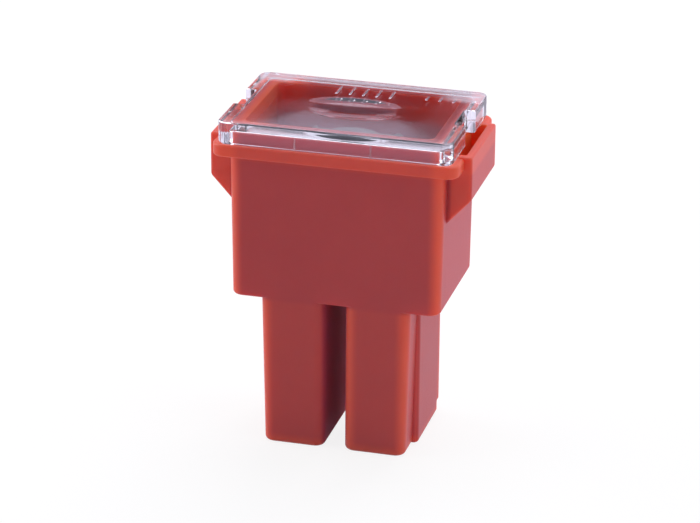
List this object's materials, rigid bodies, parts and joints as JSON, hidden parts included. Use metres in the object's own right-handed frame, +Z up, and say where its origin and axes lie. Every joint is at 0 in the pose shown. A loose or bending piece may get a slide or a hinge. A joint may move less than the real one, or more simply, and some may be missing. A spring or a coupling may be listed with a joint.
{
  "type": "cartridge fuse",
  "caption": "Plug-in cartridge fuse: hollow red housing with two socket legs, clear lid with a lens, two box terminals with contact springs, and a fusible link.",
  "frame": {"origin": "middle of the footprint at the height of the leg tips", "axes": "+X across the two legs, +Y from the front to the back, +Z up from the leg tips towards the lid"},
  "size_m": [0.025, 0.0152, 0.0324],
  "materials": {
    "housing_plastic": "satin moulded red plastic, slightly translucent at thin edges",
    "clear_plastic": "clear glossy moulded plastic",
    "tinned_copper": "tin-plated copper alloy sheet",
    "spring_steel": "bright spring steel strip",
    "link_alloy": "grey satin alloy strip",
    "tin": "soft bright tin"
  },
  "bodies": {
    "housing": {"housing": "housing_plastic", "terminal_left": "tinned_copper", "terminal_right": "tinned_copper", "fuse_link": "link_alloy", "tin_pellet": "tin"},
    "lid": {"lid": "clear_plastic"},
    "contact_spring_left": {"contact_spring_left": "spring_steel"},
    "contact_spring_right": {"contact_spring_right": "spring_steel"}
  },
  "joints": [
    {"name": "lid_lift", "type": "slide", "parent": "housing", "child": "lid", "axis": [0, 0, 1], "range_m": [0, 0.01]},
    {"name": "contact_spring_left_flex", "type": "hinge", "parent": "housing", "child": "contact_spring_left", "pos_m": [-0.00265, -0.00077, 0.0127], "axis": [0, -1, 0], "range_deg": [0, 3.5], "stiffness_Nm_per_rad": 0.5},
    {"name": "contact_spring_right_flex", "type": "hinge", "parent": "housing", "child": "contact_spring_right", "pos_m": [0.00265, -0.00077, 0.0127], "axis": [0, 1, 0], "range_deg": [0, 3.5], "stiffness_Nm_per_rad": 0.5}
  ]
}
